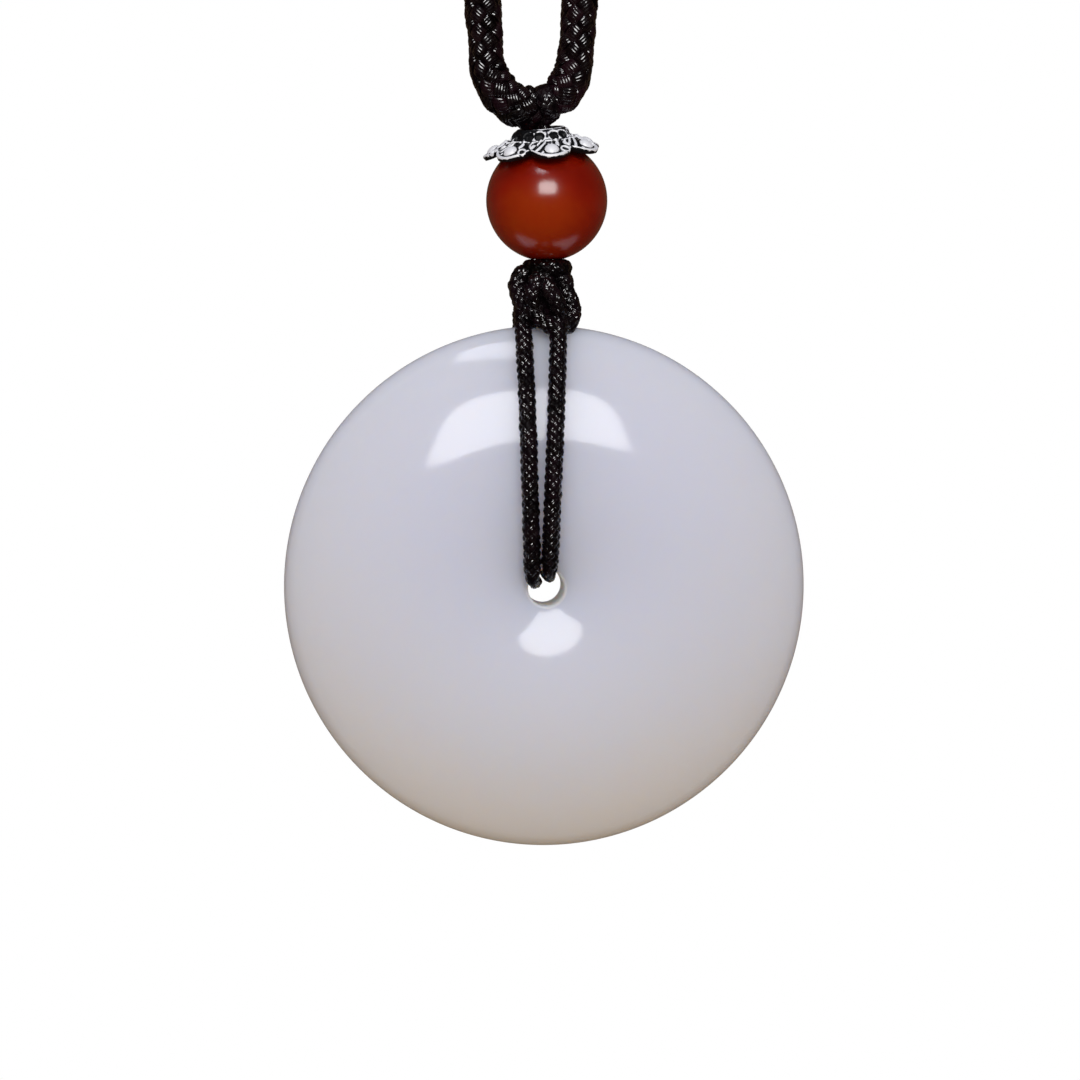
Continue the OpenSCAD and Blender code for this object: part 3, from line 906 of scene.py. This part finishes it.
def makeLoop():
    pairHalf = (thinCord["pressed"] + thinCord["gap"]) / 2
    nipR = thickBraid["thick"] / 2 - neck["nip"]
    bandR = nipR + loop["gripGap"] + thinCord["bandThick"] / 2
    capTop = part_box("bead_cap")[1][2] / mm
    low = [(beadAt[0], -pairHalf, z) for z in
           (beadAt[2] - bead["radius"] - loop["underBead"], beadAt[2] - 2, beadAt[2] + 2,
            capTop - 1.2)]
    low.append((beadAt[0] - 0.2, -pairHalf - 0.03, capTop + 0.1))
    grip = [hangAt + (0, -bandR * math.cos(a), 0) + bandR * math.sin(a) * nipUp
            for a in np.radians(loop["gripTurn"])]
    front = [np.array(p) for p in low] + grip
    whole = front + [p * (1, -1, 1) for p in reversed(front[:-1])]
    points = smoothThrough(whole)
    route = routeOf(points, side=nipAxis)
    top = route["length"] / 2
    gripLength = bandR * math.radians(loop["gripTurn"][-1] - loop["gripTurn"][0])

    def shape(s, angle):
        outside = gripLength + loop["bandFrom"] - np.abs(s - top)
        t = np.clip(outside / loop["bandOver"], 0, 1)
        t = t * t * (3 - 2 * t)
        small = thinCord["pressed"] / thinCord["thick"]
        wide = small * (1 - t) + thinCord["bandWide"] / thinCord["thick"] * t
        flat = small * (1 - t) + thinCord["bandThick"] / thinCord["thick"] * t
        return flat, wide

    part = thinLength(route, 7, shape)
    cordPiece("hangingLoop", [part], thinFinish, "pendant", "thin_braid", "hanging_loop")


makeLoop()
print("loop hung")


# Knot: lengths of the same cord laid over each other, front and back alike
knot = {
    "wide": 5.9,
    "deep": 6.2,
    "tall": 6.1,
    "overRim": 0.9,        # how far its belly hangs over the disc's rim
    "topTurnR": 1.4,
    "topRise": 0.1,        # how far the ring under the bead is pushed up against it
    "heartAt": 0.58,       # the dark heart's middle, as a share of the height
    "heartR": 1.9,
    "heartHalf": 2.3,      # half its height
    "ringPoints": 120,
}
# Columns: share of half the width, of half the depth (front is negative), and of the height
knotTurns = {
    "leftLobe": [(-0.2, 0.3, 0.85), (-0.75, -0.2, 0.98), (-1, -0.35, 0.76), (-0.9, -0.5, 0.52),
                 (-0.68, -0.55, 0.28), (-0.62, -0.4, 0.0)],
    "leftInner": [(0.1, 0.1, 0.95), (0.05, -0.35, 0.96), (-0.3, -0.65, 0.86), (-0.5, -0.8, 0.62),
                  (-0.4, -0.75, 0.4), (-0.1, -0.5, 0.26), (0.2, 0.0, 0.2)],
    "rightLobe": [(0.1, 0.2, 0.95), (0.3, -0.25, 0.97), (0.72, -0.35, 0.86), (0.78, -0.4, 0.66),
                  (0.96, -0.45, 0.48), (1.02, -0.5, 0.3), (0.9, -0.55, 0.08), (0.62, -0.4, -0.02)],
    "rightInner": [(-0.1, 0.0, 0.9), (0, -0.45, 0.9), (0.1, -0.8, 0.7), (0.45, -0.85, 0.45),
                   (0.5, -0.65, 0.25), (0.4, 0.0, 0.2)],
    "belly": [(-0.6, 0.0, 0.36), (-0.55, -0.6, 0.32), (-0.3, -0.88, 0.2), (0.1, -1, 0.06),
              (0.42, -0.92, 0), (0.7, -0.6, 0.1), (0.7, 0.0, 0.2)],
}


def makeKnot():
    thick = thinCord["thick"]
    bottom = discAt[2] + jade["radius"] - knot["overRim"]
    reach = np.array(((knot["wide"] - thick) / 2, (knot["deep"] - thick) / 2,
                      knot["tall"] - thick))
    low = np.array((0, 0, bottom + thick / 2))
    parts = []
    for back in (1, -1):
        for number, turn in enumerate(knotTurns.values()):
            points = smoothThrough(low + np.array(turn) * reach * (1, back, 1))
            route = routeOf(points)
            parts.append(thinLength(route, 20 + number + 10 * back))
    topZ = knot["topRise"] + beadAt[2] - math.sqrt(
        (bead["radius"] + thick / 2 + thinCord["gap"]) ** 2 - knot["topTurnR"] ** 2)
    a = np.linspace(0, 2 * math.pi, knot["ringPoints"])
    ring = np.stack([beadAt[0] + knot["topTurnR"] * np.cos(a), knot["topTurnR"] * np.sin(a),
                     np.full(len(a), topZ)], -1)
    route = routeOf(ring, side=upward, closed=True)
    parts.append(thinLength(route, 40))
    # The heart of the knot, which only shows as a dark filling between the turns
    heart = []
    rings, sides = 14, 24
    for v in np.linspace(0, math.pi, rings):
        for h in np.arange(sides) * 2 * math.pi / sides:
            heart.append((knot["heartR"] * math.sin(v) * math.cos(h),
                          knot["heartR"] * math.sin(v) * math.sin(h),
                          knot["heartHalf"] * math.cos(v)))
    heart = np.array(heart) + (0, 0, bottom + knot["heartAt"] * knot["tall"])
    parts.append((heart, ringQuads(rings, sides), tubeEnds(0, rings, sides),
                  np.zeros((len(heart), 3))))
    cordPiece("cordKnot", parts, thinFinish, "pendant", "thin_braid", "cord_knot")


makeKnot()
print("knot tied")


# Bead cap, cast as a flower: the CAD's section with its fine relief raised on it
cap = {
    "wide": 9.6,
    "tall": 2.3,
    "crownWide": 5.2,
    "petals": 7,
    "tilt": 5.0,           # left side down, in degrees
    "nod": 4.5,            # front down
    "turn": 8.0,
    "rise": 0.95,          # above the bead
    "boreR": 1.35,
    "petalFill": 0.88,
    "around": 560,
    "rings": 88,
    "faceSlope": 0.84,     # a length down a petal's face, seen from above
    "bossR": 0.6,          # the smooth boss on each petal
    "bossRise": 0.36,
    "bossAt": 4.02,
    "eyeR": 0.36,          # the small ring to the right of the boss
    "eyeAt": (1.16, 3.95),
    "hollowAway": 0.3,     # from a petal's middle line to each hollow over it, in petals
    "edgeLine": 0.12,      # height of the line along a petal's edge,
    "domed": 0.16,         # of the petal's middle,
    "scroll": 0.12,        # of the scroll lines,
    "leaf": 0.16,          # of the leaf between two petals,
    "eye": 0.13,           # of the small ring,
    "lip": 0.05,           # and of the crown's lip
    "fieldDeep": 0.14,     # depth of the field inside the edge's line,
    "leafDeep": 0.1,       # of the line round the leaf,
    "eyeDeep": 0.16,       # of the small ring's middle,
    "grooveDeep": 0.15,    # of the groove under the crown,
    "hollowDeep": 0.3,     # and of the crown's hollows
    "patinaReach": 14,     # over how many mesh steps a low place counts as a hollow
    "rubbedEdges": 4.5,    # how much brighter a place is for standing out from what is round it,
    "rubbedHeights": 1.2,  # and for its height, a millimetre
    "underside": 0.25,     # how bright the underside is
}


def capOutline(b):
    # Radius of the flower's edge, b away from the middle of a petal
    petalR = cap["wide"] / 2 * math.sin(math.pi / cap["petals"]) * cap["petalFill"]
    petalAt = cap["wide"] / 2 - petalR
    inside = np.maximum(petalR ** 2 - (petalAt * np.sin(b)) ** 2, 0)
    return petalAt * np.cos(b) + np.sqrt(inside)


def capRelief(b, r, z, edgeAway):
    # Height of the relief, in millimetres
    u, v = r * np.sin(b), r * np.cos(b)
    slope = cap["faceSlope"]
    skirt = smoothStep(r, 2.75, 3.0)
    height = cap["edgeLine"] * skirt * np.exp(-((edgeAway - 0.1) / 0.09) ** 2)
    height += cap["domed"] * skirt * np.cos(cap["petals"] / 2 * b)
    height -= cap["fieldDeep"] * smoothStep(edgeAway, 0.2, 0.3) * smoothStep(r, 2.9, 3.1)
    boss = np.hypot(u, (v - cap["bossAt"]) / slope) / cap["bossR"]
    field = skirt * smoothStep(boss, 1.1, 1.3) * smoothStep(edgeAway, 0.22, 0.34)
    # Scroll lines fan out on both sides of the boss, from the crown to the petal's edge
    fan = np.arctan2(u, v - 2.2)
    height += (cap["scroll"] * field * np.sin(fan * 13 + 6 * v)
               * smoothStep(np.abs(u), 0.15, 0.35))
    # Leaf in the corner between two petals
    corner = (math.pi / cap["petals"] - np.abs(b)) * r
    leaf = np.hypot(corner / 0.3, (r - 3.35) / 0.42)
    height += (cap["leaf"] * (1 - smoothStep(leaf, 0.6, 1.05))
               - cap["leafDeep"] * np.exp(-((leaf - 1.3) / 0.2) ** 2))
    eye = np.hypot(u - cap["eyeAt"][0], (v - cap["eyeAt"][1]) / slope) / cap["eyeR"]
    height = np.where(eye < 1.35, height * smoothStep(eye, 1.1, 1.35), height)
    height += (cap["eye"] * np.exp(-((eye - 0.95) / 0.22) ** 2)
               - cap["eyeDeep"] * (1 - smoothStep(eye, 0.4, 0.8)))
    height += cap["bossRise"] * np.sqrt(np.clip(1 - boss ** 2, 0, 1))
    # Groove under the crown, then its hollows between upright bars, under a plain lip
    height -= cap["grooveDeep"] * np.exp(-((r - 2.74) / 0.08) ** 2)
    away = (np.abs(b) - cap["hollowAway"] * 2 * math.pi / cap["petals"]) * r
    hollow = np.hypot(away / 0.5, (z + 0.46) / 0.36)
    height -= cap["hollowDeep"] * (1 - smoothStep(hollow, 0.6, 1.05)) * (r < 2.8)
    height += cap["lip"] * np.exp(-((r - 1.9) / 0.08) ** 2)
    return height


def makeCap():
    half, tall, crown = cap["wide"] / 2, cap["tall"], cap["crownWide"] / 2
    skirt = half - crown
    # Radius and height down the top side, from the crown's lip to a petal's tip, as in the CAD
    section = np.array([
        (crown - 0.9, 0), (crown - 0.65, 0), (crown - 0.3, -0.1 * tall),
        (crown - 0.05, -0.27 * tall), (crown + 0.12 * skirt, -0.36 * tall),
        (crown + 0.45 * skirt, -0.54 * tall), (crown + 0.8 * skirt, -0.76 * tall),
        (half, -0.94 * tall)])
    fine = smoothThrough(np.insert(section, 1, 0, axis=1), gap=0.02)
    fineR, fineZ = fine[:, 0], fine[:, 2]
    along = np.concatenate([[0], np.cumsum(np.hypot(np.diff(fineR), np.diff(fineZ)))])
    baseR = np.interp(np.linspace(0, along[-1], cap["rings"]), along, fineR)
    angle = np.arange(cap["around"]) * 2 * math.pi / cap["around"]
    petal = 2 * math.pi / cap["petals"]
    b = (angle + math.pi / 2 + petal / 2) % petal - petal / 2
    edge = capOutline(b)[:, None]
    foot = crown + 0.15
    r = np.where(baseR > foot, foot + (baseR - foot) * (edge - foot) / (half - foot), baseR)
    z = np.interp(r, fineR, fineZ)
    top = np.stack([r * np.cos(angle)[:, None], r * np.sin(angle)[:, None], z], -1)
    alongWay = np.gradient(top, axis=1)
    aroundWay = np.roll(top, -1, 0) - np.roll(top, 1, 0)
    normal = np.cross(alongWay, aroundWay)
    normal /= np.linalg.norm(normal, axis=2)[..., None]
    height = capRelief(b[:, None], r, z, edge - r)
    height[:, 0] = 0
    # Patina stays where the surface lies lower than what is round it
    level = height.copy()
    for _ in range(cap["patinaReach"]):
        level = (np.roll(level, 1, 0) + np.roll(level, -1, 0) + 2 * level) / 4
        inner = np.pad(level, ((0, 0), (1, 1)), mode="edge")
        level = (inner[:, :-2] + inner[:, 2:] + 2 * level) / 4
    bright = np.clip(0.5 + (height - level) * cap["rubbedEdges"]
                     + height * cap["rubbedHeights"], 0, 1)
    top = top + normal * height[..., None]

    # The underside: out of sight under the petals, then a hollow that clears the bead
    seatR = bead["radius"] + thinCord["gap"]
    seatZ = -cap["rise"] - bead["radius"]
    under = []
    underR = crown + skirt * np.array((0.15, 0.42, 0.78, 0.96))
    underZ = -tall * np.array((0.74, 0.7, 0.9, 0.98))
    for share in np.linspace(1, 0, 14):
        at = underR[0] + (edge[:, 0] - 0.05 - underR[0]) * share
        under.append((at, np.interp(at, underR, underZ)))
    for at in np.linspace(underR[0] - 0.1, cap["boreR"], 8):
        at = np.full(len(angle), at)
        under.append((at, seatZ + np.sqrt(seatR ** 2 - at ** 2)))
    under.append((np.full(len(angle), cap["boreR"]), np.full(len(angle), -0.3 * tall)))
    below = np.stack([np.stack([at * np.cos(angle), at * np.sin(angle), low], -1)
                      for at, low in under], 1)
    points = np.concatenate([top, below], 1)
    shade = np.concatenate([bright, np.full(below.shape[:2], cap["underside"])], 1)

    turn = Matrix.Rotation(math.radians(cap["turn"]), 3, "Z")
    seat = (Matrix.Rotation(math.radians(-cap["tilt"]), 3, "Y")
            @ Matrix.Rotation(math.radians(cap["nod"]), 3, "X"))
    seated = points.reshape(-1, 3) @ np.array(turn).T + (0, 0, -seatZ)
    seated = seated @ np.array(seat).T + beadAt
    quads = ringQuads(len(angle), points.shape[1], closed=True)
    piece = buildMesh("beadCap", seated, quads,
                      attributes={"relief": ("FLOAT", "value", shade)}, finish=silverFinish)
    finishPiece(piece, "pendant", "antiqued_silver", "bead_cap")


makeCap()
print("cap cast")


# Floor, room and lamps
studio = {
    "floorBelow": 90.0,    # under the disc's lowest point
    "floorSide": 30.0,     # metres
    "white": "#ffffff",    # the floor and the room, as the camera sees them
    "floorLight": 0.53,    # the light that the floor gives, and its colour
    "floorTint": "#d8c8b8",
    "roomLight": 0.39,     # and the room's
    "roomTint": "#e4e8ff",
    "mirrored": 0.03,      # how light both are in reflections, in front of the object
    "behind": 0.15,        # and behind it
    "mirrorTint": "#d8b088",
}
# Columns: name, azimuth and elevation it comes from, distance, width and height in metres,
# radiance and colour
lamps = [
    ("softboxFront", -1.0, 27.3, 0.75, 0.458, 0.308, 7.4, "#ffffff"),
    ("softboxTop", -18.5, 58.9, 0.80, 0.21, 0.12, 6.0, "#f4f6ff"),
]
hood = {
    "fullest": 0.34,       # how far up the front lamp its hood is widest
    "corner": 4.0,         # how square its corners are
    "soft": (1.06, 0.94),  # its edge fades from nothing to full light over these
}


def seenOrLit(tree, seen, lit, dim):
    # One shader where the camera sees it, one for the light that it gives, and a dim one in
    # reflections
    path = addNode(tree, "ShaderNodeLightPath")
    given = addNode(tree, "ShaderNodeMixShader",
                    links={0: path.outputs["Is Glossy Ray"], 1: lit.outputs[0],
                           2: dim.outputs[0]})
    return addNode(tree, "ShaderNodeMixShader",
                   links={0: path.outputs["Is Camera Ray"], 1: given.outputs[0],
                          2: seen.outputs[0]})


def dimmed(tree, place, near, far, shader):
    # Reflections show little light in front of the object, and more behind it
    split = addNode(tree, "ShaderNodeSeparateXYZ", links={"Vector": place})
    strength = addNode(tree, "ShaderNodeMapRange",
                       {"From Min": near, "From Max": far, "To Min": studio["mirrored"],
                        "To Max": studio["behind"]}, {"Value": split.outputs["Y"]})
    tree.links.new(strength.outputs["Result"], shader.inputs["Strength"])


def domeShape(tree):
    # Cuts a lamp's rectangle to a round-cornered hood, fullest a third of the way up
    face = addNode(tree, "ShaderNodeNewGeometry")
    split = addNode(tree, "ShaderNodeSeparateXYZ", links={"Vector": face.outputs["Parametric"]})
    sideways = addNode(tree, "ShaderNodeMath", {"operation": "MULTIPLY_ADD", 1: 2.0, 2: -1.0},
                       {0: split.outputs["X"]})
    beside = addNode(tree, "ShaderNodeMath", {"operation": "ABSOLUTE"},
                     {0: sideways.outputs["Value"]})
    above, below = [addNode(tree, "ShaderNodeMapRange",
                            {"From Min": hood["fullest"], "From Max": end,
                             "To Min": 0.0, "To Max": 1.0},
                            {"Value": split.outputs["Y"]}) for end in (1.0, 0.0)]
    further = addNode(tree, "ShaderNodeMath", {"operation": "MAXIMUM"},
                      {0: above.outputs["Result"], 1: below.outputs["Result"]})
    powers = [addNode(tree, "ShaderNodeMath", {"operation": "POWER", 1: hood["corner"]},
                      {0: source})
              for source in (beside.outputs["Value"], further.outputs["Value"])]
    total = addNode(tree, "ShaderNodeMath", {"operation": "ADD"},
                    {0: powers[0].outputs["Value"], 1: powers[1].outputs["Value"]})
    return addNode(tree, "ShaderNodeMapRange",
                   {"From Min": hood["soft"][0], "From Max": hood["soft"][1],
                    "To Min": 0.0, "To Max": 1.0},
                   {"Value": total.outputs["Value"]})


def makeFloor():
    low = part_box("jade_disc")[0][2] - studio["floorBelow"] * mm
    side = studio["floorSide"] / 2
    mesh = bpy.data.meshes.new("paleFloor")
    corners = [(x, y, low) for x, y in ((-side, -side), (side, -side), (side, side), (-side, side))]
    mesh.from_pydata(corners, [], [(0, 1, 2, 3)])
    floor = bpy.data.objects.new("paleFloor", mesh)
    bpy.context.scene.collection.objects.link(floor)
    paper, tree, _ = newMaterial("palePaper")
    white = addNode(tree, "ShaderNodeEmission", {"Color": linear(studio["white"]), "Strength": 1.0})
    warm = addNode(tree, "ShaderNodeEmission",
                   {"Color": linear(studio["floorTint"]), "Strength": studio["floorLight"]})
    dim = addNode(tree, "ShaderNodeEmission", {"Color": linear(studio["mirrorTint"])})
    place = addNode(tree, "ShaderNodeTexCoord")
    dimmed(tree, place.outputs["Object"], 0.0, 0.5, dim)
    both = seenOrLit(tree, white, warm, dim)
    tree.links.new(both.outputs[0], tree.nodes["Material Output"].inputs["Surface"])
    mesh.materials.append(paper)


def makeRoom():
    world = bpy.data.worlds.new("softRoom")
    bpy.context.scene.world = world
    world.use_nodes = True
    tree = world.node_tree
    room = tree.nodes["Background"]
    room.inputs["Color"].default_value = linear(studio["roomTint"])
    room.inputs["Strength"].default_value = studio["roomLight"]
    white = addNode(tree, "ShaderNodeBackground",
                    {"Color": linear(studio["white"]), "Strength": 1.0})
    dim = addNode(tree, "ShaderNodeBackground", {"Color": linear(studio["mirrorTint"])})
    place = addNode(tree, "ShaderNodeTexCoord")
    dimmed(tree, place.outputs["Generated"], 0.0, 0.9, dim)
    both = seenOrLit(tree, white, room, dim)
    tree.links.new(both.outputs[0], tree.nodes["World Output"].inputs["Surface"])


def makeLamps():
    aim = Vector(discAt * mm)
    for name, azimuth, elevation, distance, wide, tall, radiance, colour in lamps:
        back, right, up = viewAxes(azimuth, elevation)
        light = bpy.data.lights.new(name, "AREA")
        light.shape = "RECTANGLE"
        light.size = wide
        light.size_y = tall
        light.energy = radiance * wide * tall * math.pi
        light.color = linear(colour)[:3]
        if name == "softboxFront":
            light.use_nodes = True
            tree = light.node_tree
            dome = domeShape(tree)
            tree.links.new(dome.outputs["Result"], tree.nodes["Emission"].inputs["Strength"])
        lamp = bpy.data.objects.new(name, light)
        lamp.location = aim + Vector(back) * distance
        lamp.rotation_mode = "QUATERNION"
        lamp.rotation_quaternion = Vector(-back).to_track_quat("-Z", "Y")
        bpy.context.scene.collection.objects.link(lamp)


makeFloor()
makeRoom()
makeLamps()
bpy.context.scene.view_settings.view_transform = "Standard"
print("studio lit")
